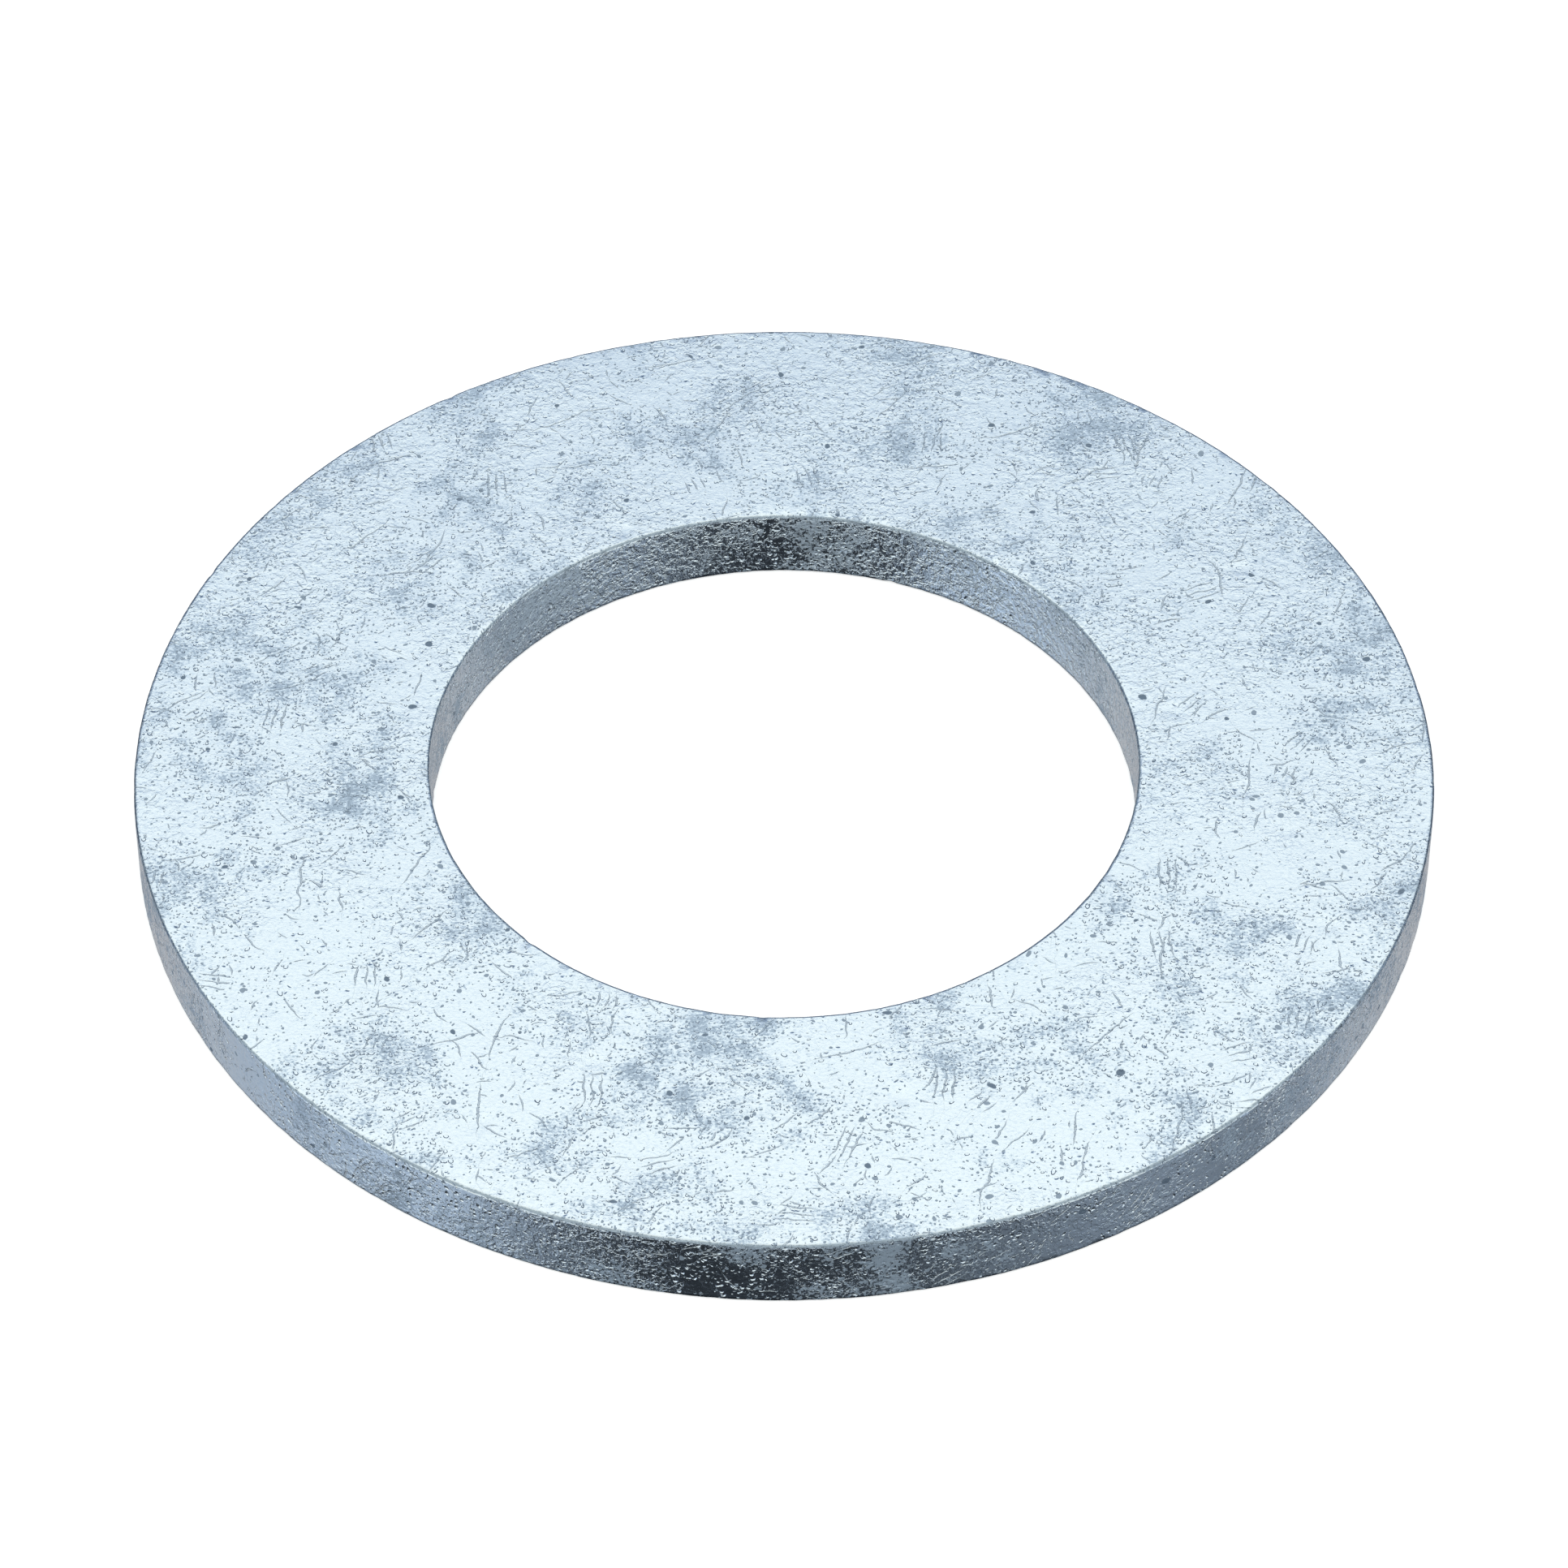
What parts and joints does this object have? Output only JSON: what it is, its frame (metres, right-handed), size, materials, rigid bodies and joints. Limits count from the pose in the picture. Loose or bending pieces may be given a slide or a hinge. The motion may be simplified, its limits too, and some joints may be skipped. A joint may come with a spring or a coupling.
{
  "type": "flat washer",
  "caption": "Round flat metal ring with a plain central clearance hole, placed under a bolt head or nut to spread its load.",
  "frame": {"origin": "centre of the bore in the plane of the lower face", "axes": "+Z along the bore axis, from the lower face to the upper face"},
  "size_m": [0.0698, 0.0698, 0.0042],
  "materials": {
    "zinc_plate": "bright zinc plating with a cold blue tint, tumbled: fine pits, scratches and dull patches"
  },
  "bodies": {
    "root": {"washer_ring": "zinc_plate"}
  },
  "joints": []
}
